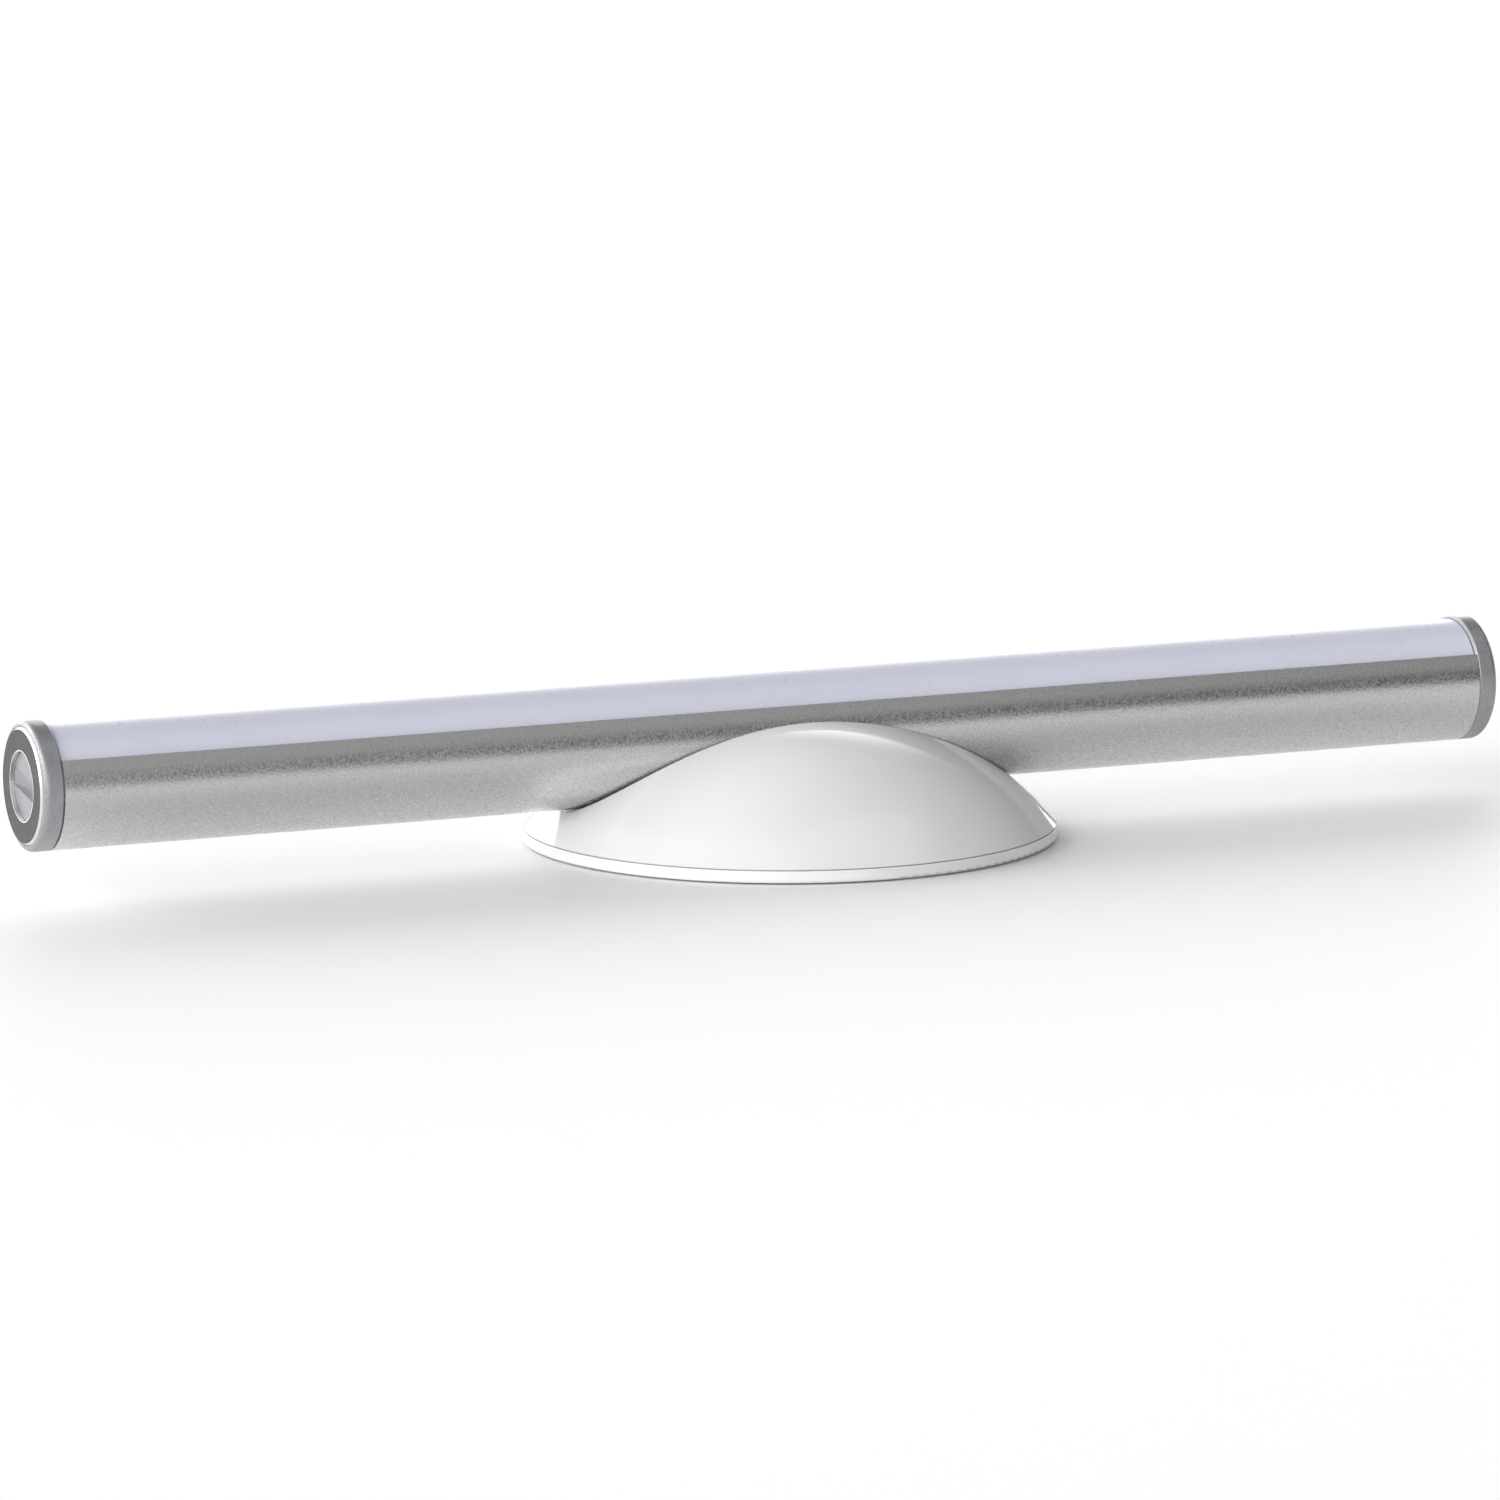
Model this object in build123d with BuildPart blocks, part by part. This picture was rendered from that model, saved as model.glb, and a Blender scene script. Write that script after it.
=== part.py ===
from build123d import *
import math
import os

# Battery-powered light bar: a round aluminium bar that lies in the saddle of a domed base.
# Frame: origin at the centre of the base's underside, +Z up, +X along the bar towards the
# push-button end, -Y towards the front. Millimetres.

# ---- driving dimensions ------------------------------------------------------------------

bar_radius = 12.5
bar_length = 306.0  # between the faces of the two end caps
bar_shift = -3.1  # the bar lies this far along X from the centre of its base
bar_setback = 2.4  # and its axis this far behind it
axis_height = 21.0  # bar axis above the surface that the base stands on

cap_width = 4.1
cap_round = 1.2
wall = 1.4
opening_angle = 120.0  # the lit opening of the bar, centred on straight up
diffuser_radius = 11.8
diffuser_wall = 1.2

base_radius = 52.4
plate_top_radius = 52.0
pad_proud = 0.3  # how far the foot pad stands below the plate
plate_thickness = 2.6
dome_radius = 73.7  # spherical crown of the base
dome_apex = 24.9  # height of the whole sphere's top, before the saddle is cut
dome_flank_angle = 46.0
dome_shoulder_round = 21.0
dome_wall = 2.2
saddle_clearance = 0.4

cell_radius = 5.25  # AAA cell
cell_length = 44.5
cell_count = 4

plug_radius = 6.5
plug_recess = 0.8  # the plug's face lies this far inside the bezel's face
plug_turned = -10.0  # where its coin slot stands when locked, from horizontal
bezel_radius = 11.2
bezel_proud = 0.3
button_travel = 0.8

# ---- derived dimensions ------------------------------------------------------------------

left_face = bar_shift - bar_length / 2
right_face = bar_shift + bar_length / 2
tube_length = bar_length - 2 * cap_width
bore_radius = bar_radius - wall
half_open = opening_angle / 2
edge_angle = 90 - half_open  # where the metal ends at the front, above horizontal
saddle_radius = bar_radius + saddle_clearance
plate_bottom = pad_proud
plate_top = plate_bottom + plate_thickness
dome_centre_z = dome_apex - dome_radius

os.makedirs("parts", exist_ok=True)


def across(x):
    """Plane square to the bar at x, with its origin on the bar axis."""
    return Plane(origin=(x, bar_setback, axis_height), x_dir=(0, 1, 0), z_dir=(1, 0, 0))


def from_left(depth):
    """Plane square to the bar, this deep behind the left cap's face, looking inwards."""
    return across(left_face + depth)


def from_right(depth):
    """The same at the right cap, with its normal pointing inwards, towards -X."""
    face = (right_face - depth, bar_setback, axis_height)
    return Plane(origin=face, x_dir=(0, -1, 0), z_dir=(-1, 0, 0))


def level(height):
    """Horizontal plane this far above the bar's axis, with its origin above the base's X = 0."""
    return Plane(origin=(0, bar_setback, axis_height + height))


def ring_sector(inner, outer, start, stop):
    """Part of a flat ring between two angles, drawn inside a BuildSketch."""
    with BuildLine() as outline:
        far = CenterArc((0, 0), outer, start, stop - start)
        near = CenterArc((0, 0), inner, start, stop - start)
        Line(far @ 0, near @ 0)
        Line(far @ 1, near @ 1)
    make_face(outline.edges())


def both_sides(inner, outer, start, stop):
    """A ring sector and its mirror image about the vertical."""
    ring_sector(inner, outer, start, stop)
    ring_sector(inner, outer, 180 - stop, 180 - start)


def ring(outer, inner):
    """A flat ring, drawn inside a BuildSketch."""
    Circle(outer)
    Circle(inner, mode=Mode.SUBTRACT)


def save(piece, name):
    piece.part.label = name
    export_step(piece.part, f"parts/{name}.step")


# ---- base: dome with the saddle ----------------------------------------------------------

screw_circle = 36.0
screw_count = 4
screw_start = 45
boss_radius = 3.0
plate_boss_radius = 4.5
screw_radius = 1.5
screw_gap = 0.05
screw_length = 8.0
screw_head_radius = 2.75
screw_head_height = 1.6
screw_seat = 3.1  # underside of the plate's screw bosses' inner floor
plate_boss_top = 4.9
shadow_gap = 0.25
shadow_gap_depth = 0.8
lip_round = 0.5


def dome_outline(inset):
    """Points down the dome's section, moved inwards by inset: the spherical crown, the round of
    the shoulder, tangent to both its neighbours, and the straight flank down to the plate."""
    crown = dome_radius - inset
    shoulder = dome_shoulder_round - inset
    slope = math.radians(dome_flank_angle)
    foot = (plate_top_radius - inset / math.sin(slope), plate_top)
    # the shoulder's centre lies this far from the crown's, square to the flank and along it
    away = foot[0] * math.sin(slope) + (plate_top - dome_centre_z) * math.cos(slope) - shoulder
    along = math.sqrt((crown - shoulder) ** 2 - away**2)
    centre_x = away * math.sin(slope) - along * math.cos(slope)
    centre_z = dome_centre_z + away * math.cos(slope) + along * math.sin(slope)
    crown_end = math.atan2(centre_x, centre_z - dome_centre_z)
    points = []
    for i in range(12):
        tilt = crown_end * i / 12
        points.append((crown * math.sin(tilt), dome_centre_z + crown * math.cos(tilt)))
    for i in range(9):
        tilt = crown_end + (slope - crown_end) * i / 8
        points.append((centre_x + shoulder * math.sin(tilt), centre_z + shoulder * math.cos(tilt)))
    end = points[-1]
    for i in range(1, 6):
        points.append((end[0] + (foot[0] - end[0]) * i / 5, end[1] + (foot[1] - end[1]) * i / 5))
    return points


def dome_section(inset):
    """Half section of the dome for a revolve about Z, with one smooth curve as its outside."""
    slope = math.radians(dome_flank_angle)
    points = dome_outline(inset)
    with BuildLine() as outline:
        Spline(*points, tangents=((1, 0), (math.cos(slope), -math.sin(slope))))
        Line(points[-1], (0, plate_top))
        Line((0, plate_top), points[0])
    make_face(outline.edges())


pad_slots = ((222, 252), (288, 318))  # where the grip pads lie in the saddle
pad_length = 44.0
pad_inner = bar_radius + 0.05
pad_outer = saddle_radius + 0.6

# the hollow underneath: the same dome inset by the wall, less the trough under the bar and
# less four bosses that carry the screws
with BuildPart() as cavity:
    with BuildSketch(Plane.XZ):
        dome_section(dome_wall)
    revolve(axis=Axis.Z)
    with BuildSketch(across(-base_radius)):
        Circle(saddle_radius + dome_wall)
        with Locations((0, base_radius / 2)):
            Rectangle(2 * (saddle_radius + dome_wall), base_radius)
    extrude(amount=2 * base_radius, mode=Mode.SUBTRACT)
    with BuildSketch(Plane.XY.offset(plate_boss_top)):
        with PolarLocations(screw_circle, screw_count, start_angle=screw_start):
            Circle(boss_radius)
    extrude(amount=dome_apex, mode=Mode.SUBTRACT)

with BuildPart() as base_dome:
    with BuildSketch(Plane.XZ):
        dome_section(0)
    revolve(axis=Axis.Z)
    with BuildSketch(across(-base_radius)):
        Circle(saddle_radius)
    extrude(amount=2 * base_radius, mode=Mode.SUBTRACT)
    lip = base_dome.edges().filter_by(lambda e: e.center().Z > plate_top + 1 and e.length > 20)
    fillet(lip, lip_round)
    add(cavity.part, mode=Mode.SUBTRACT)
    with BuildSketch(Plane.XY.offset(plate_boss_top)):
        with PolarLocations(screw_circle, screw_count, start_angle=screw_start):
            Circle(screw_radius + screw_gap)
    extrude(amount=screw_length - 1, mode=Mode.SUBTRACT)
    with BuildSketch(across(-pad_length / 2)):
        for start, stop in pad_slots:
            ring_sector(saddle_radius - 0.2, pad_outer, start, stop)
    extrude(amount=pad_length, mode=Mode.SUBTRACT)
save(base_dome, "base_dome")

with BuildPart() as saddle_pads:
    with BuildSketch(across(-pad_length / 2)):
        for start, stop in pad_slots:
            ring_sector(pad_inner, pad_outer, start, stop)
    extrude(amount=pad_length)
save(saddle_pads, "saddle_pads")

# ---- base: plate, ballast, screws and foot pad -------------------------------------------

pad_recess = 0.8
foot_pad_radius = 47.0
locating_ring_outer = 47.4
locating_ring_wall = 1.4
locating_ring_height = 1.2
plate_taper = math.degrees(math.atan2(base_radius - plate_top_radius, plate_thickness))

with BuildPart() as base_plate:
    with BuildSketch(Plane.XY.offset(plate_bottom)):
        Circle(base_radius)
    extrude(amount=plate_thickness, taper=plate_taper)
    rim = base_plate.edges().group_by(Axis.Z)[0]
    fillet(rim, 0.6)
    with BuildSketch(Plane.XY.offset(plate_top)):
        ring(base_radius, plate_top_radius - shadow_gap_depth)
    extrude(amount=-shadow_gap, mode=Mode.SUBTRACT)
    with BuildSketch(Plane.XY.offset(plate_top)):
        ring(locating_ring_outer, locating_ring_outer - locating_ring_wall)
    extrude(amount=locating_ring_height)
    with BuildSketch(Plane.XY.offset(plate_top)):
        with PolarLocations(screw_circle, screw_count, start_angle=screw_start):
            Circle(plate_boss_radius)
    extrude(amount=plate_boss_top - plate_top)
    with BuildSketch(Plane.XY.offset(plate_bottom)):
        Circle(foot_pad_radius + 0.1)
    extrude(amount=pad_recess, mode=Mode.SUBTRACT)
    with BuildSketch(Plane.XY.offset(plate_bottom)):
        with PolarLocations(screw_circle, screw_count, start_angle=screw_start):
            Circle(screw_head_radius + 0.2)
    extrude(amount=screw_seat - plate_bottom, mode=Mode.SUBTRACT)
    with BuildSketch(Plane.XY.offset(screw_seat)):
        with PolarLocations(screw_circle, screw_count, start_angle=screw_start):
            Circle(screw_radius + 0.2)
    extrude(amount=plate_boss_top - screw_seat, mode=Mode.SUBTRACT)
save(base_plate, "base_plate")

ballast_radius = 44.0
ballast_thickness = 2.4
ballast_hole = plate_boss_radius + 0.5

with BuildPart() as ballast_disc:
    with BuildSketch(Plane.XY.offset(plate_top)):
        Circle(ballast_radius)
        with PolarLocations(screw_circle, screw_count, start_angle=screw_start):
            Circle(ballast_hole, mode=Mode.SUBTRACT)
    extrude(amount=ballast_thickness)
    chamfer(ballast_disc.edges().filter_by(GeomType.CIRCLE).sort_by(SortBy.RADIUS)[-2:], 0.4)
save(ballast_disc, "ballast_disc")

with BuildPart() as base_screws:
    with BuildSketch(Plane.XY.offset(screw_seat - screw_head_height)):
        with PolarLocations(screw_circle, screw_count, start_angle=screw_start):
            Circle(screw_head_radius)
    extrude(amount=screw_head_height)
    with BuildSketch(Plane.XY.offset(screw_seat)):
        with PolarLocations(screw_circle, screw_count, start_angle=screw_start):
            Circle(screw_radius)
    extrude(amount=screw_length)
    with BuildSketch(Plane.XY.offset(screw_seat - screw_head_height)):
        with PolarLocations(screw_circle, screw_count, start_angle=screw_start):
            Rectangle(2.6, 0.6)
            Rectangle(0.6, 2.6)
    extrude(amount=1.0, mode=Mode.SUBTRACT)
save(base_screws, "base_screws")

with BuildPart() as foot_pad:
    with BuildSketch(Plane.XY):
        Circle(foot_pad_radius)
    extrude(amount=pad_proud + pad_recess)
save(foot_pad, "foot_pad")

# ---- bar: aluminium housing and diffuser -------------------------------------------------

rail_inner = 8.9
rail_outer = 9.9
rail_web = (14, 20)
rail_stop = 44
board_seat = 6.8  # height of the LED board's underside above the bar axis
rib_inner = 8.7
rib_angles = ((232, 238), (302, 308))
end_gap = 0.15  # the diffuser stops this far short of each end of the housing

with BuildPart() as tube_housing:
    with BuildSketch(from_left(cap_width)):
        ring_sector(bore_radius, bar_radius, 180 - edge_angle, 360 + edge_angle)
        both_sides(rail_inner, rail_outer, rail_web[0], rail_stop)
        both_sides(rail_outer - 0.1, bore_radius + 0.2, *rail_web)
        for start, stop in rib_angles:
            ring_sector(rib_inner, bore_radius + 0.2, start, stop)
        with Locations((0, board_seat)):
            above = (Align.CENTER, Align.MIN)
            Rectangle(2 * rail_outer, 2 * rail_outer, align=above, mode=Mode.SUBTRACT)
    extrude(amount=tube_length)
save(tube_housing, "tube_housing")

with BuildPart() as diffuser:
    with BuildSketch(from_left(cap_width + end_gap)):
        lit_edge = edge_angle + 0.3
        ring_sector(diffuser_radius - diffuser_wall, diffuser_radius, lit_edge, 180 - lit_edge)
        both_sides(rail_outer + 0.1, bore_radius - 0.05, edge_angle - 6, edge_angle + 3)
    extrude(amount=tube_length - 2 * end_gap)
save(diffuser, "diffuser")

# ---- bar: LED board ----------------------------------------------------------------------

board_width = 13.6
board_thickness = 1.0
board_length = 282.0
led_pitch = 8.0
led_count = 35
led_size = (3.5, 2.8, 0.8)

with BuildPart() as led_board:
    with BuildSketch(level(board_seat)):
        with Locations((bar_shift, 0)):
            Rectangle(board_length, board_width)
    extrude(amount=board_thickness)
save(led_board, "led_board")

with BuildPart() as leds:
    with BuildSketch(level(board_seat + board_thickness)):
        with Locations((bar_shift, 0)):
            with GridLocations(led_pitch, 0, led_count, 1):
                Rectangle(led_size[0], led_size[1])
    extrude(amount=led_size[2])
save(leds, "leds")

# ---- bar: caps, bezels and inlays --------------------------------------------------------

tongue_angles = ((186, 228), (242, 298), (312, 354))
tongue_outer = bore_radius - 0.05
tongue_inner = tongue_outer - 1.1
tongue_end = 12.0  # depth that the tongues reach behind the cap's face
joint_chamfer = 0.4
bezel_back = 1.3  # depth of the bezel flange's back
bezel_chamfer = 0.4
bezel_bore = plug_radius + 0.1
inlay_inner = bezel_bore + 0.35
inlay_outer = bezel_radius - bezel_chamfer - 0.05
inlay_depth = 0.3
inlay_thickness = 0.25


def end_cap(piece_plane, sleeve_radius):
    """Ring-shaped end cap with tongues that push into the housing, drawn inside a BuildPart."""
    with BuildPart() as cap:
        with BuildSketch(piece_plane(0)):
            Circle(bar_radius)
        extrude(amount=cap_width)
        outline = cap.edges().filter_by(GeomType.CIRCLE).sort_by(Axis.X)
        if piece_plane is from_right:
            outline = outline[::-1]
        fillet(outline[0], cap_round)
        chamfer(outline[-1], joint_chamfer)
        with BuildSketch(piece_plane(0)):
            Circle(bezel_radius + 0.05)
        extrude(amount=bezel_back + 0.05, mode=Mode.SUBTRACT)
        with BuildSketch(piece_plane(0)):
            Circle(sleeve_radius + 0.05)
        extrude(amount=cap_width, mode=Mode.SUBTRACT)
        with BuildSketch(piece_plane(cap_width)):
            for start, stop in tongue_angles:
                ring_sector(tongue_inner, tongue_outer, start, stop)
        extrude(amount=tongue_end - cap_width)
    return cap


socket_sleeve = 8.6
socket_end = 7.0
collar_front = 2.9
collar_back = 4.5
collar_bore = 5.8
lug_outer = 6.4
lug_angle = 24.0
lug_slot_angle = 32.0
disc_back = plug_recess - bezel_proud + 2.0
button_sleeve = 9.0
button_undercut = 7.9
button_flange = 7.7

left_cap = end_cap(from_left, socket_sleeve)
save(left_cap, "left_cap")

right_cap = end_cap(from_right, button_sleeve)
save(right_cap, "right_cap")

# the plug socket is the left bezel: a flange outside, a sleeve inside, and a collar between
# them with two notches that let the plug's lugs through after a quarter turn
with BuildPart() as plug_socket:
    with BuildSketch(from_left(-bezel_proud)):
        Circle(bezel_radius)
    extrude(amount=bezel_proud + bezel_back)
    chamfer(plug_socket.edges().filter_by(GeomType.CIRCLE).sort_by(Axis.X)[0], bezel_chamfer)
    with BuildSketch(from_left(bezel_back)):
        Circle(socket_sleeve)
    extrude(amount=socket_end - bezel_back)
    with BuildSketch(from_left(-bezel_proud)):
        ring(inlay_outer + 0.05, inlay_inner - 0.05)
    extrude(amount=inlay_depth, mode=Mode.SUBTRACT)
    with BuildSketch(from_left(-bezel_proud)):
        Circle(bezel_bore)
    extrude(amount=bezel_proud + collar_front, mode=Mode.SUBTRACT)
    with BuildSketch(from_left(collar_back)):
        Circle(bezel_bore)
    extrude(amount=socket_end - collar_back, mode=Mode.SUBTRACT)
    with BuildSketch(from_left(collar_front)):
        Circle(collar_bore)
        for centre in (90 - plug_turned, 270 - plug_turned):
            half = lug_slot_angle / 2
            ring_sector(collar_bore - 0.5, lug_outer + 0.1, centre - half, centre + half)
    extrude(amount=collar_back - collar_front, mode=Mode.SUBTRACT)
save(plug_socket, "plug_socket")

with BuildPart() as button_bezel:
    with BuildSketch(from_right(-bezel_proud)):
        Circle(bezel_radius)
    extrude(amount=bezel_proud + bezel_back)
    chamfer(button_bezel.edges().filter_by(GeomType.CIRCLE).sort_by(Axis.X)[-1], bezel_chamfer)
    with BuildSketch(from_right(bezel_back)):
        Circle(button_sleeve)
    extrude(amount=cap_width - bezel_back)
    with BuildSketch(from_right(-bezel_proud)):
        ring(inlay_outer + 0.05, inlay_inner - 0.05)
    extrude(amount=inlay_depth, mode=Mode.SUBTRACT)
    with BuildSketch(from_right(-bezel_proud)):
        Circle(bezel_bore)
    extrude(amount=bezel_proud + cap_width, mode=Mode.SUBTRACT)
    with BuildSketch(from_right(2.0)):
        Circle(button_undercut)
    extrude(amount=cap_width - 2.0, mode=Mode.SUBTRACT)
save(button_bezel, "button_bezel")

with BuildPart() as left_inlay:
    with BuildSketch(from_left(inlay_depth - bezel_proud - inlay_thickness)):
        ring(inlay_outer, inlay_inner)
    extrude(amount=inlay_thickness)
save(left_inlay, "left_inlay")

with BuildPart() as right_inlay:
    with BuildSketch(from_right(inlay_depth - bezel_proud - inlay_thickness)):
        ring(inlay_outer, inlay_inner)
    extrude(amount=inlay_thickness)
save(right_inlay, "right_inlay")

# ---- plug: quarter-turn battery plug with its spring -------------------------------------

plug_face = plug_recess - bezel_proud
barrel_radius = 5.7
barrel_end = 6.5
lug_front = 4.6
lug_back = 6.1
slot_width = 3.6
slot_depth = 1.7
slot_floor_radius = (plug_radius**2 + slot_depth**2) / (2 * slot_depth)
contact_radius = 5.4
contact_thickness = 0.4
spring_wire = 0.4
spring_base = 4.2
spring_tip = 2.6
spring_turns = 4.5
cell_start = 14.0

with BuildPart() as battery_plug:
    with BuildSketch(from_left(plug_face)):
        Circle(plug_radius)
    extrude(amount=disc_back - plug_face)
    with BuildSketch(from_left(disc_back)):
        Circle(barrel_radius)
    extrude(amount=barrel_end - disc_back)
    with BuildSketch(from_left(lug_front)):
        for centre in (-plug_turned, 180 - plug_turned):
            half = lug_angle / 2
            ring_sector(barrel_radius - 0.5, lug_outer, centre - half, centre + half)
    extrude(amount=lug_back - lug_front)
    # coin slot with a round floor, cut as by a disc that stands across the plug
    slot_plane = Plane(
        origin=(left_face + plug_face, bar_setback, axis_height),
        x_dir=(1, 0, 0),
        z_dir=(0, math.sin(math.radians(plug_turned)), math.cos(math.radians(plug_turned))),
    )
    with BuildSketch(slot_plane):
        with Locations((slot_depth - slot_floor_radius, 0)):
            Circle(slot_floor_radius)
    extrude(amount=slot_width / 2, both=True, mode=Mode.SUBTRACT)
save(battery_plug, "battery_plug")

with BuildPart() as plug_gasket:
    with BuildSketch(from_left(disc_back)):
        ring(plug_radius - 0.1, barrel_radius + 0.1)
    extrude(amount=collar_front - disc_back)
save(plug_gasket, "plug_gasket")

with BuildPart() as plug_contact:
    with BuildSketch(from_left(barrel_end)):
        Circle(contact_radius)
    extrude(amount=contact_thickness)
save(plug_contact, "plug_contact")

spring_start = barrel_end + contact_thickness + spring_wire
spring_height = cell_start - spring_wire - 0.2 - spring_start
with BuildPart() as battery_spring:
    with BuildLine() as coil:
        Helix(
            pitch=spring_height / spring_turns,
            height=spring_height,
            radius=spring_base,
            center=(left_face + spring_start, bar_setback, axis_height),
            direction=(1, 0, 0),
            cone_angle=-math.degrees(math.atan2(spring_base - spring_tip, spring_height)),
        )
    with BuildSketch(Plane(origin=coil.line @ 0, z_dir=coil.line % 0)):
        Circle(spring_wire)
    sweep(path=coil.line, is_frenet=True)
save(battery_spring, "battery_spring")

# ---- bar: battery column -----------------------------------------------------------------

sleeve_outer = 6.5
sleeve_inner = 5.5
sleeve_start = 8.0
cell_gap = 0.05
nub_radius = 1.9
nub_height = 0.8
cells_end = cell_start + cell_count * (cell_length + cell_gap)
stop_step = 1.6
stop_length = 4.0
strip_width = 3.0
strip_thickness = 0.3
strip_drop = 8.3  # underside of the return strip below the bar axis

with BuildPart() as battery_cells:
    for index in range(cell_count):
        start = cell_start + index * (cell_length + cell_gap)
        with BuildSketch(from_left(start)):
            Circle(cell_radius)
        extrude(amount=cell_length - nub_height)
        with BuildSketch(from_left(start + cell_length - nub_height)):
            Circle(nub_radius)
        extrude(amount=nub_height)
save(battery_cells, "battery_cells")

# a moulded tube with two fins that stand on the housing's ribs
with BuildPart() as battery_sleeve:
    with BuildSketch(from_left(sleeve_start)):
        ring(sleeve_outer, sleeve_inner)
        for start, stop in rib_angles:
            ring_sector(sleeve_outer - 0.2, rib_inner, start, stop)
    extrude(amount=cells_end + stop_step - sleeve_start)
save(battery_sleeve, "battery_sleeve")

with BuildPart() as positive_contact:
    with BuildSketch(from_left(cells_end)):
        Circle(sleeve_inner - 0.3)
    extrude(amount=contact_thickness)
    with BuildSketch(from_left(cells_end + contact_thickness)):
        Rectangle(2.0, 0.4)
    extrude(amount=stop_length + 2.0)
save(positive_contact, "positive_contact")

with BuildPart() as cell_stop:
    with BuildSketch(from_left(cells_end + contact_thickness)):
        Circle(sleeve_inner - 0.05)
    extrude(amount=stop_step - contact_thickness)
    with BuildSketch(from_left(cells_end + stop_step)):
        Circle(sleeve_outer)
    extrude(amount=stop_length - stop_step)
    with BuildSketch(from_left(cells_end + contact_thickness)):
        Rectangle(2.2, 0.6)
    extrude(amount=stop_length, mode=Mode.SUBTRACT)
save(cell_stop, "cell_stop")

# the plug touches this ring when it is locked, and the strip carries the current back
socket_contact_outer = 8.3
socket_contact_inner = 4.9
with BuildPart() as socket_contact:
    with BuildSketch(from_left(socket_end)):
        ring(socket_contact_outer, socket_contact_inner)
    extrude(amount=contact_thickness)
save(socket_contact, "socket_contact")

driver_start = cells_end + 12.0
driver_length = 62.0
driver_width = 16.0
driver_thickness = 1.2
driver_seat = -6.8  # underside of the driver board, from the bar axis

strip_start = socket_end + contact_thickness
strip_end = driver_start + 6.0
with BuildPart() as return_strip:
    with BuildSketch(from_left(strip_start)):
        with Locations((0, -strip_drop)):
            rising = (Align.CENTER, Align.MIN)
            Rectangle(strip_width, strip_drop - socket_contact_inner, align=rising)
    extrude(amount=strip_thickness)
    with BuildSketch(from_left(strip_start)):
        with Locations((0, -strip_drop)):
            Rectangle(strip_width, strip_thickness, align=rising)
    extrude(amount=strip_end - strip_start)
    with BuildSketch(from_left(strip_end - strip_thickness)):
        with Locations((0, -strip_drop)):
            Rectangle(strip_width, strip_drop + driver_seat, align=rising)
    extrude(amount=strip_thickness)
save(return_strip, "return_strip")

# ---- bar: electronics and push button ----------------------------------------------------


def block(depth, width, size_x, size_y, bottom, height):
    """Rectangular block in the bar: depth from the left cap's face, width across the bar."""
    with BuildSketch(level(bottom)) as outline:
        with Locations((left_face + depth, width)):
            Rectangle(size_x, size_y, align=(Align.MIN, Align.CENTER))
    extrude(outline.sketch, amount=height)


with BuildPart() as driver_board:
    block(driver_start, 0, driver_length, driver_width, driver_seat, driver_thickness)
save(driver_board, "driver_board")

parts_seat = driver_seat + driver_thickness
with BuildPart() as driver_components:
    block(driver_start + 12, 0, 5.0, 4.0, parts_seat, 1.5)
    block(driver_start + 33, -4, 3.2, 1.6, parts_seat, 1.2)
    block(driver_start + 33, 4, 3.2, 1.6, parts_seat, 1.2)
    block(driver_start + 52, 0, 6.0, 8.0, parts_seat, 5.0)
    with BuildSketch(level(parts_seat)):
        with Locations((left_face + driver_start + 25, 0)):
            Circle(3.5)
        with Locations((left_face + driver_start + 43, 0)):
            Circle(3.15)
    extrude(amount=5.5)
save(driver_components, "driver_components")

button_radius = plug_radius
button_face = 0.1 - bezel_proud  # the button lies just inside the bezel's face
button_flange_front = 3.0
button_flange_thickness = 0.8
button_stem_radius = 2.0
plunger_radius = 1.7
plunger_front = 5.4
plunger_length = 1.9
switch_front = 6.2
switch_size = 6.0
plunger_well = plunger_front + plunger_length + button_travel + 0.2 - switch_front
switch_depth = 3.6
switch_board_radius = 8.4
switch_board_thickness = 1.2

with BuildPart() as power_button:
    with BuildSketch(from_right(button_face)):
        Circle(button_radius)
    extrude(amount=button_flange_front - button_face)
    fillet(power_button.edges().filter_by(GeomType.CIRCLE).sort_by(Axis.X)[-1], 0.5)
    with BuildSketch(from_right(button_flange_front - button_flange_thickness)):
        Circle(button_flange)
    extrude(amount=button_flange_thickness)
    with BuildSketch(from_right(button_flange_front)):
        Circle(button_stem_radius)
    extrude(amount=plunger_front - button_flange_front)
    # shallow dish for the fingertip
    dish_radius = 30.0
    dish_depth = 0.5
    dish_centre = (right_face - button_face + dish_radius - dish_depth, bar_setback, axis_height)
    with Locations(dish_centre):
        Sphere(dish_radius, mode=Mode.SUBTRACT)
save(power_button, "power_button")

with BuildPart() as switch_plunger:
    with BuildSketch(from_right(plunger_front)):
        Circle(plunger_radius)
    extrude(amount=plunger_length)
save(switch_plunger, "switch_plunger")

with BuildPart() as tact_switch:
    with BuildSketch(from_right(switch_front)):
        Rectangle(switch_size, switch_size)
    extrude(amount=switch_depth)
    with BuildSketch(from_right(switch_front)):
        Circle(plunger_radius + 0.1)
    extrude(amount=plunger_well, mode=Mode.SUBTRACT)
save(tact_switch, "tact_switch")

with BuildPart() as switch_board:
    with BuildSketch(from_right(switch_front + switch_depth)):
        Circle(switch_board_radius)
    extrude(amount=switch_board_thickness)
save(switch_board, "switch_board")

# ---- bar: wires, each soldered square to its pads ----------------------------------------

wire_radius = 0.6
wire_bend = 3.0
wire_pad = driver_start + driver_length - 2.5
led_pad = wire_pad + 5.0
led_wire_spread = 2.5


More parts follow.
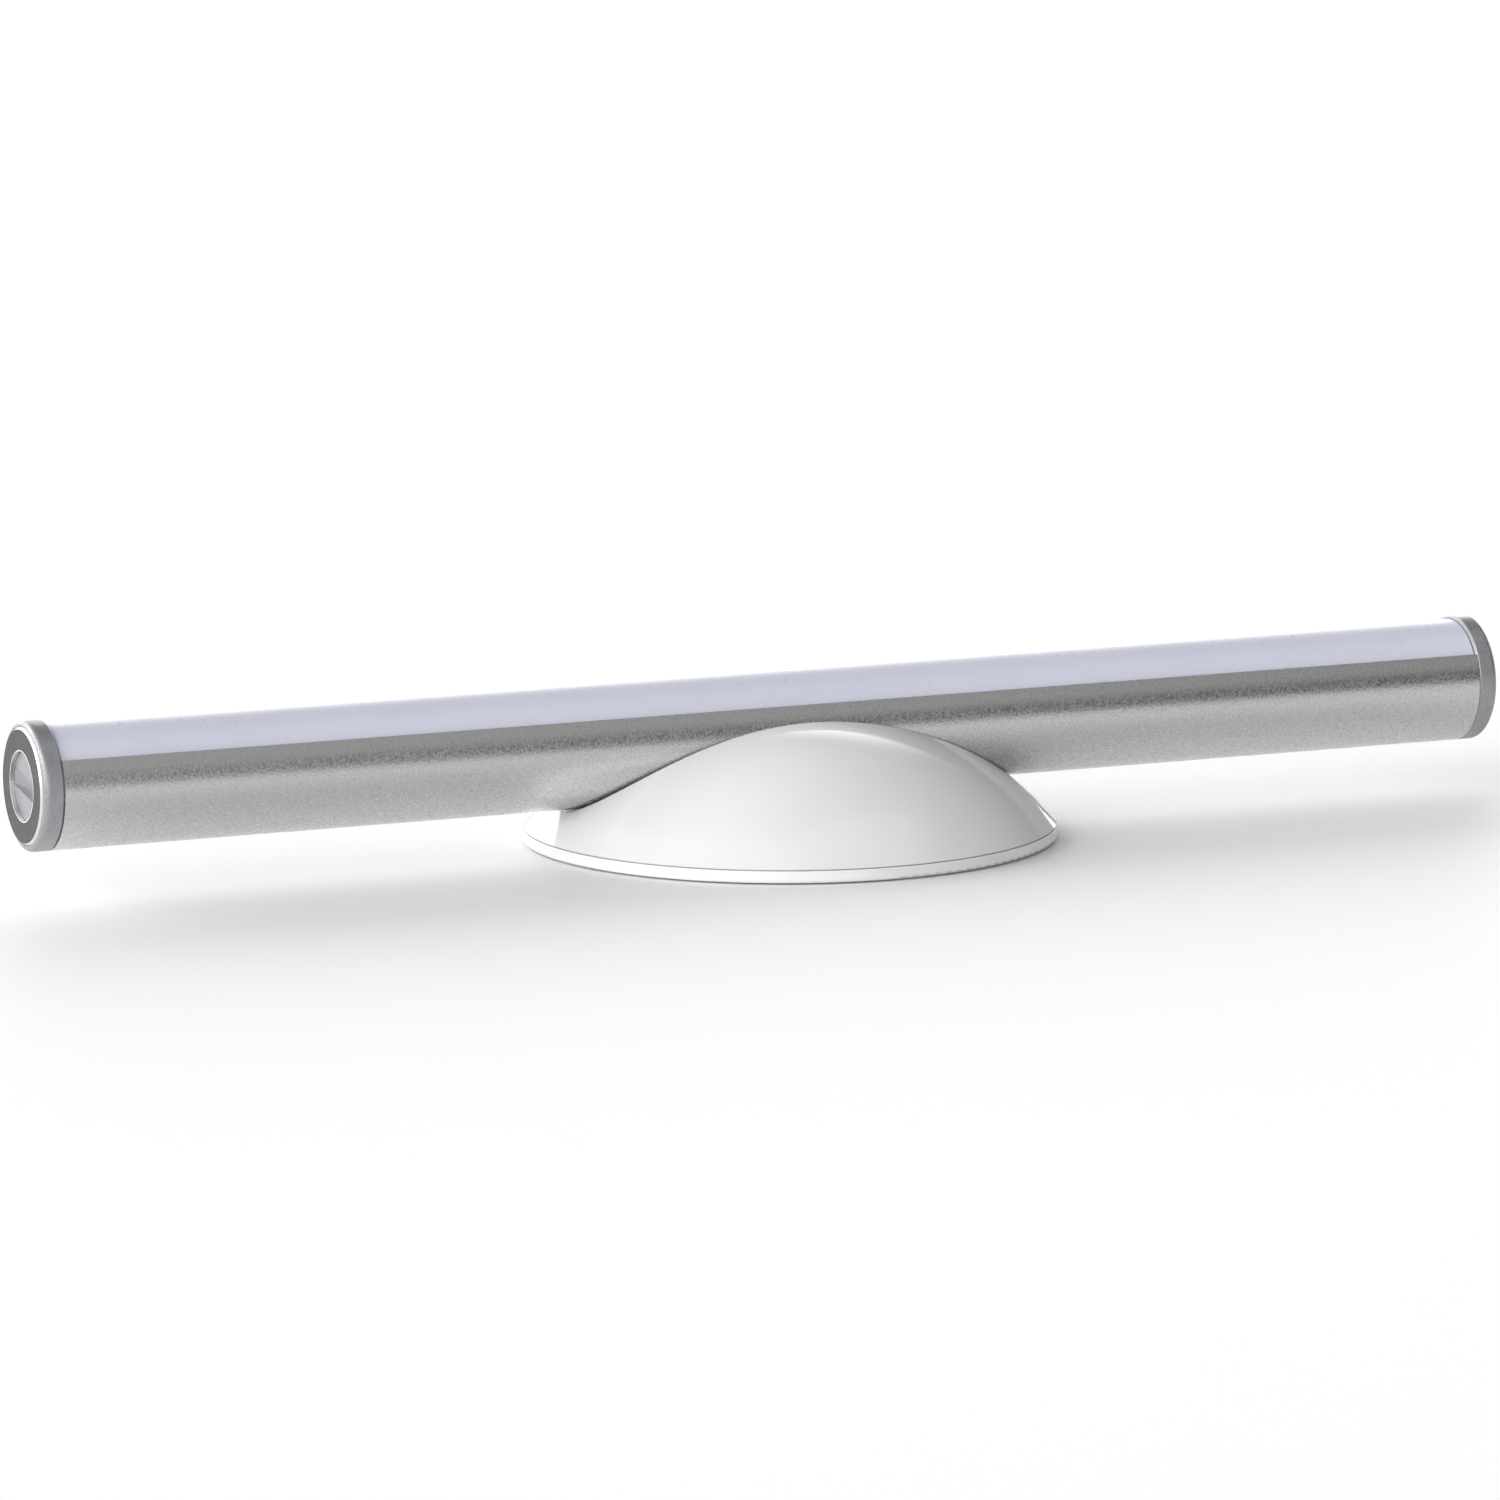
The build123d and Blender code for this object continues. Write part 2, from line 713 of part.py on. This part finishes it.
def wire(points):
    """A wire through points given as (depth, across, height) from the left cap's face."""
    corners = [(left_face + d, bar_setback + y, axis_height + z) for d, y, z in points]
    with BuildLine() as path:
        FilletPolyline(*corners, radius=wire_bend)
    with BuildSketch(Plane(origin=path.line @ 0, z_dir=path.line % 0)) as section:
        Circle(wire_radius)
    sweep(section.sketch, path=path.line)


with BuildPart() as led_wires:
    for side in (-led_wire_spread, led_wire_spread):
        rise = board_seat - parts_seat
        wire(
            [
                (wire_pad, side, parts_seat),
                (wire_pad, side, parts_seat + 0.3 * rise),
                (led_pad, side, board_seat - 0.3 * rise),
                (led_pad, side, board_seat),
            ]
        )
save(led_wires, "led_wires")

with BuildPart() as battery_wire:
    tab_end = cells_end + contact_thickness + stop_length + 2.0
    wire([(tab_end, 0, 0), (driver_start + 4, 0, 0), (driver_start + 4, 0, parts_seat)])
save(battery_wire, "battery_wire")

with BuildPart() as switch_wires:
    board_face = bar_length - switch_front - switch_depth - switch_board_thickness
    for side in (-5.0, 5.0):
        wire(
            [
                (driver_start + driver_length - 2, side, parts_seat),
                (driver_start + driver_length - 2, side, 0),
                (board_face, side, 0),
            ]
        )
save(switch_wires, "switch_wires")
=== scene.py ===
"""Looks of the monitor light bar: materials, floor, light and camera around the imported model."""
import math

import bpy
from mathutils import Matrix, Vector


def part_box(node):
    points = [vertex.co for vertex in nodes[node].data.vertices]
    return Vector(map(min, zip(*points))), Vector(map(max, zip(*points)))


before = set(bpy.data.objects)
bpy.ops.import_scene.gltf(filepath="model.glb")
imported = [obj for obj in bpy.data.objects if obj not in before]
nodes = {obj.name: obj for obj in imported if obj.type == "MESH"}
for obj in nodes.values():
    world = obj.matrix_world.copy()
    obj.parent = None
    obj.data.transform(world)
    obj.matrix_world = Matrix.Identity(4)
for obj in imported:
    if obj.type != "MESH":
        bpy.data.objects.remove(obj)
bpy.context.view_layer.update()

# ---- places, all worked out from the frame -----------------------------------------------

tube_low, tube_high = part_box("tube_housing")
BAR_RADIUS = (tube_high.y - tube_low.y) / 2


# ---- camera ------------------------------------------------------------------------------

CAMERA_YAW = 23.474  # degrees to the left of the front
CAMERA_RISE = 10.254
CAMERA_ROLL = -0.228
CAMERA_DISTANCE = 146.57 * BAR_RADIUS
CAMERA_LENS = 225.82
SENSOR = 36.0  # millimetres, as the lens
NEAREST = 0.05
FURTHEST = 20
AIM_LEFT = 0.616 * BAR_RADIUS  # the frame's centre lies this far left of the base's centre
AIM_UP = 1.345 * BAR_RADIUS


def add_camera():
    yaw = math.radians(CAMERA_YAW)
    rise = math.radians(CAMERA_RISE)
    level_part = math.cos(rise)
    back = Vector((-math.sin(yaw) * level_part, -math.cos(yaw) * level_part, math.sin(rise)))
    level_right = (-back).cross(Vector((0, 0, 1))).normalized()
    level_up = level_right.cross(-back)
    roll = math.radians(CAMERA_ROLL)
    right = math.cos(roll) * level_right + math.sin(roll) * level_up
    up = math.cos(roll) * level_up - math.sin(roll) * level_right
    data = bpy.data.cameras.new("photo_camera")
    data.lens = CAMERA_LENS
    data.sensor_width = SENSOR
    data.clip_start = NEAREST
    data.clip_end = FURTHEST
    place = back * CAMERA_DISTANCE
    aim = -AIM_LEFT * right + AIM_UP * up
    sight = (aim - place).normalized()
    side = sight.cross(up).normalized()
    turned = Matrix((side, side.cross(sight), -sight)).transposed()
    cam = bpy.data.objects.new("photo_camera", data)
    cam.matrix_world = Matrix.Translation(place) @ turned.to_4x4()
    bpy.context.scene.collection.objects.link(cam)
    bpy.context.scene.camera = cam


add_camera()

# ---- material helpers --------------------------------------------------------------------


class Look:
    """A node material with a Principled shader and a few shorthand ways to add to it."""

    def __init__(self, name, color, roughness, **settings):
        self.mat = bpy.data.materials.new(name)
        self.mat.use_nodes = True
        self.tree = self.mat.node_tree
        self.shader = self.tree.nodes["Principled BSDF"]
        self.shader.inputs["Base Color"].default_value = (*color, 1)
        self.shader.inputs["Roughness"].default_value = roughness
        for key, value in settings.items():
            socket = key if key.isupper() else key.replace("_", " ").title()
            self.shader.inputs[socket].default_value = value
        self.coords = self.tree.nodes.new("ShaderNodeTexCoord").outputs["Object"]
        self.height = None

    def node(self, kind, **values):
        made = self.tree.nodes.new(kind)
        for key, value in values.items():
            if key in made.inputs:
                made.inputs[key].default_value = value
            else:
                setattr(made, key, value)
        return made

    def link(self, source, target):
        self.tree.links.new(source, target)

    def noise(self, scale, detail=2.0, offset=(0, 0, 0)):
        """Noise in object space; scale is in waves per metre."""
        place = self.node("ShaderNodeMapping")
        place.inputs["Location"].default_value = offset
        self.link(self.coords, place.inputs["Vector"])
        made = self.node("ShaderNodeTexNoise", Scale=scale, Detail=detail)
        self.link(place.outputs["Vector"], made.inputs["Vector"])
        return made.outputs["Fac"]

    def ramp(self, source, stops):
        """Maps a value through (position, value) stops."""
        made = self.tree.nodes.new("ShaderNodeValToRGB")
        ramp = made.color_ramp
        while len(ramp.elements) < len(stops):
            ramp.elements.new(0.5)
        for element, (place, value) in zip(ramp.elements, stops):
            element.position = place
            color = value if isinstance(value, tuple) else (value,) * 3
            element.color = (*color, 1)
        self.link(source, made.inputs["Fac"])
        return made.outputs["Color"]

    def drive(self, source, name):
        self.link(source, self.shader.inputs[name])

    def bump(self, source, strength, distance):
        """Adds a layer of bump on what is there already; distance in metres."""
        made = self.node("ShaderNodeBump", Strength=strength, Distance=distance)
        self.link(source, made.inputs["Height"])
        if self.height is not None:
            self.link(self.height, made.inputs["Normal"])
        self.height = made.outputs["Normal"]
        self.link(self.height, self.shader.inputs["Normal"])

    def wear(self, *names):
        for name in names:
            obj = nodes[name]
            obj.data.materials.clear()
            obj.data.materials.append(self.mat)


# ---- materials ---------------------------------------------------------------------------


def paint_base():
    look = Look("white_gloss_plastic", (0.86, 0.86, 0.85), 0.06, IOR=1.5)
    look.drive(look.ramp(look.noise(900, 3), [(0.35, 0.05), (0.7, 0.09)]), "Roughness")
    tone = look.noise(25, 3)
    tones = look.ramp(tone, [(0.3, (0.85, 0.85, 0.84)), (0.7, (0.88, 0.88, 0.87))])
    look.drive(tones, "Base Color")
    look.bump(look.noise(45, 1), 0.12, 0.0003)
    look.wear("base_dome", "base_plate")


def paint_housing():
    look = Look("blasted_aluminium", (0.64, 0.64, 0.62), 0.33, metallic=1.0)
    grain = look.noise(2300, 2)
    look.drive(look.ramp(grain, [(0.3, 0.2), (0.7, 0.34)]), "Roughness")
    tone = look.noise(1600, 3, offset=(3, 1, 2))
    tones = look.ramp(tone, [(0.3, (0.58, 0.58, 0.575)), (0.7, (0.65, 0.65, 0.645))])
    look.drive(tones, "Base Color")
    look.bump(grain, 0.3, 0.00008)
    look.wear("tube_housing")


def paint_diffuser():
    look = Look("opal_diffuser", (0.72, 0.73, 0.85), 0.3)
    look.drive(look.ramp(look.noise(400, 3), [(0.3, 0.27), (0.7, 0.34)]), "Roughness")
    tone = look.noise(60, 2)
    tones = look.ramp(tone, [(0.3, (0.71, 0.72, 0.84)), (0.7, (0.73, 0.74, 0.86))])
    look.drive(tones, "Base Color")
    look.bump(look.noise(300, 2), 0.05, 0.0001)
    look.wear("diffuser")


def paint_caps():
    look = Look("silver_paint", (0.42, 0.43, 0.44), 0.4, metallic=0.5)
    flake = look.noise(3000, 3)
    cloud = look.noise(220, 3, offset=(2, 5, 1))
    tones = look.ramp(flake, [(0.3, (0.3, 0.305, 0.32)), (0.7, (0.4, 0.405, 0.42))])
    look.drive(tones, "Base Color")
    look.drive(look.ramp(cloud, [(0.3, 0.33), (0.7, 0.48)]), "Roughness")
    look.bump(look.noise(700, 2), 0.3, 0.00015)
    look.bump(cloud, 0.25, 0.0003)
    look.wear("left_cap", "right_cap", "battery_plug", "power_button")


def paint_bezels():
    look = Look("bright_bezel", (0.8, 0.8, 0.79), 0.2, metallic=0.9)
    look.drive(look.ramp(look.noise(500, 2), [(0.3, 0.15), (0.7, 0.28)]), "Roughness")
    look.bump(look.noise(900, 3), 0.15, 0.0001)
    look.wear("plug_socket", "button_bezel")
    look = Look("dark_inlay", (0.045, 0.04, 0.037), 0.45)
    look.drive(look.ramp(look.noise(1500, 2), [(0.3, 0.4), (0.7, 0.52)]), "Roughness")
    look.bump(look.noise(1800, 2), 0.2, 0.00008)
    look.wear("left_inlay", "right_inlay")


def paint_plain(name, color, spread, roughness, scale, *names, **settings):
    """A simple moulded or cast surface: slight mottling of colour and roughness, fine grain."""
    look = Look(name, color, roughness, **settings)
    grain = look.noise(scale, 3)
    darker = tuple(c * (1 - spread) for c in color)
    lighter = tuple(min(1, c * (1 + spread)) for c in color)
    look.drive(look.ramp(grain, [(0.3, darker), (0.7, lighter)]), "Base Color")
    look.drive(look.ramp(grain, [(0.3, roughness * 0.85), (0.7, roughness * 1.15)]), "Roughness")
    look.bump(grain, 0.2, 0.0001)
    look.wear(*names)


def paint_inside():
    """The underside and the pieces inside, most of them hidden from outside."""
    paint_plain("pad_rubber", (0.03, 0.03, 0.03), 0.2, 0.75, 1500, "foot_pad")
    paint_plain("grip_rubber", (0.52, 0.52, 0.51), 0.06, 0.6, 1200, "saddle_pads")
    paint_plain("gasket_rubber", (0.02, 0.02, 0.02), 0.2, 0.6, 1500, "plug_gasket")
    paint_plain("screw_steel", (0.55, 0.55, 0.55), 0.1, 0.32, 2500, "base_screws", metallic=1.0)
    paint_plain("ballast_steel", (0.5, 0.51, 0.52), 0.12, 0.4, 900, "ballast_disc", metallic=1.0)
    contacts = ("plug_contact", "socket_contact", "positive_contact")
    springs = ("battery_spring", "return_strip")
    sprung = contacts + springs
    paint_plain("contact_metal", (0.62, 0.6, 0.54), 0.08, 0.28, 2000, *sprung, metallic=1.0)
    paint_plain("cell_jacket", (0.06, 0.07, 0.09), 0.15, 0.3, 800, "battery_cells", metallic=0.7)
    sleeves = ("battery_sleeve", "cell_stop")
    paint_plain("sleeve_plastic", (0.68, 0.68, 0.65), 0.04, 0.5, 700, *sleeves)
    paint_plain("board_white", (0.78, 0.78, 0.75), 0.03, 0.35, 900, "led_board")
    paint_plain("led_package", (0.85, 0.7, 0.18), 0.08, 0.4, 3000, "leds")
    boards = ("driver_board", "switch_board")
    paint_plain("board_green", (0.01, 0.07, 0.02), 0.15, 0.35, 900, *boards)
    packages = ("driver_components", "tact_switch")
    paint_plain("component_black", (0.012, 0.012, 0.012), 0.2, 0.5, 2500, *packages)
    paint_plain("plunger_plastic", (0.6, 0.04, 0.02), 0.08, 0.4, 1500, "switch_plunger")
    wires = ("battery_wire", "led_wires", "switch_wires")
    paint_plain("wire_red", (0.32, 0.01, 0.01), 0.1, 0.45, 1500, *wires)


paint_base()
paint_housing()
paint_diffuser()
paint_caps()
paint_bezels()
paint_inside()

# ---- floor, background and light ---------------------------------------------------------


FLOOR_SIZE = 6  # metres


def add_floor():
    bpy.ops.mesh.primitive_plane_add(size=FLOOR_SIZE, location=(0, 0, 0))
    floor = bpy.context.object
    floor.name = "floor"
    mat = bpy.data.materials.new("floor")
    mat.use_nodes = True
    shader = mat.node_tree.nodes["Principled BSDF"]
    shader.inputs["Base Color"].default_value = (0.93, 0.93, 0.93, 1)
    shader.inputs["Roughness"].default_value = 0.6
    floor.data.materials.append(mat)


class Studio:
    """Soft light from all round the object: a dim room with large softboxes in its walls and
    ceiling, as one node world. Azimuth 0 is the front and 90 the right, in degrees."""

    def __init__(self, room):
        world = bpy.data.worlds.new("studio")
        world.use_nodes = True
        self.tree = world.node_tree
        self.background = self.tree.nodes["Background"]
        self.background.inputs["Strength"].default_value = 1.0
        direction = self.tree.nodes.new("ShaderNodeTexCoord").outputs["Generated"]
        split = self.tree.nodes.new("ShaderNodeSeparateXYZ")
        self.tree.links.new(direction, split.inputs["Vector"])
        towards_front = self.math("MULTIPLY", split.outputs["Y"], -1)
        self.azimuth = self.math("ARCTAN2", split.outputs["X"], towards_front)
        self.rise = self.math("ARCSINE", split.outputs["Z"])
        self.light = None
        self.add_light(room, None)
        bpy.context.scene.world = world

    def math(self, operation, *values):
        made = self.tree.nodes.new("ShaderNodeMath")
        made.operation = operation
        for socket, value in zip(made.inputs, values):
            if isinstance(value, (int, float)):
                socket.default_value = value
            else:
                self.tree.links.new(value, socket)
        return made.outputs[0]

    def fade(self, value, dark, bright):
        """0 where value is at dark, 1 where it is at bright, smooth between."""
        made = self.tree.nodes.new("ShaderNodeMapRange")
        made.interpolation_type = "SMOOTHSTEP"
        self.tree.links.new(value, made.inputs["Value"])
        made.inputs["From Min"].default_value = math.radians(min(dark, bright))
        made.inputs["From Max"].default_value = math.radians(max(dark, bright))
        if dark > bright:
            made.inputs["To Min"].default_value = 1
            made.inputs["To Max"].default_value = 0
        return made.outputs["Result"]

    def add_light(self, strength, amount):
        """Adds white light, all round or only where amount says."""
        scaled = self.tree.nodes.new("ShaderNodeVectorMath")
        scaled.operation = "SCALE"
        scaled.inputs["Vector"].default_value = (strength, strength, strength)
        if amount is None:
            scaled.inputs["Scale"].default_value = 1
        else:
            self.tree.links.new(amount, scaled.inputs["Scale"])
        total = scaled.outputs["Vector"]
        if self.light is not None:
            both = self.tree.nodes.new("ShaderNodeVectorMath")
            both.operation = "ADD"
            self.tree.links.new(self.light, both.inputs[0])
            self.tree.links.new(total, both.inputs[1])
            total = both.outputs["Vector"]
        self.light = total
        self.tree.links.new(total, self.background.inputs["Color"])

    def softbox(self, strength, left, right, low, high, edge):
        """Lit from azimuth left to right and from rise low to high; edge is how far each of
        those four sides fades over."""
        middle, half = (left + right) / 2, (right - left) / 2
        turn = self.math("SUBTRACT", self.azimuth, math.radians(middle))
        turn = self.math("WRAP", turn, math.pi, -math.pi)
        amount = self.fade(turn, -half - edge[0] / 2, -half + edge[0] / 2)
        right_side = self.fade(turn, half + edge[1] / 2, half - edge[1] / 2)
        amount = self.math("MULTIPLY", amount, right_side)
        if low is not None:
            lower = self.fade(self.rise, low - edge[2] / 2, low + edge[2] / 2)
            amount = self.math("MULTIPLY", amount, lower)
        if high is not None:
            upper = self.fade(self.rise, high + edge[3] / 2, high - edge[3] / 2)
            amount = self.math("MULTIPLY", amount, upper)
        self.add_light(strength, amount)


add_floor()
studio = Studio(0.08)
studio.softbox(3.3, 145, 215, 5, 34, edge=(20, 30, 6, 14))  # behind
studio.softbox(2.6, 108, 150, 3, 18, edge=(20, 16, 4, 8))  # behind on the right, low
studio.softbox(3.4, -150, -45, 9, 46, edge=(30, 50, 10, 16))  # left
studio.softbox(1.9, -45, 10, 6, 20, edge=(20, 20, 8, 10))  # front, low
studio.softbox(0.9, -190, 12, None, 8, edge=(30, 18, 1, 6))  # pale backdrop at the horizon
studio.softbox(0.4, -60, 40, 20, 80, edge=(50, 20, 20, 10))  # front, high
studio.softbox(0.7, 40, 110, 56, None, edge=(10, 20, 10, 10))  # overhead
bpy.context.scene.view_settings.view_transform = "Standard"
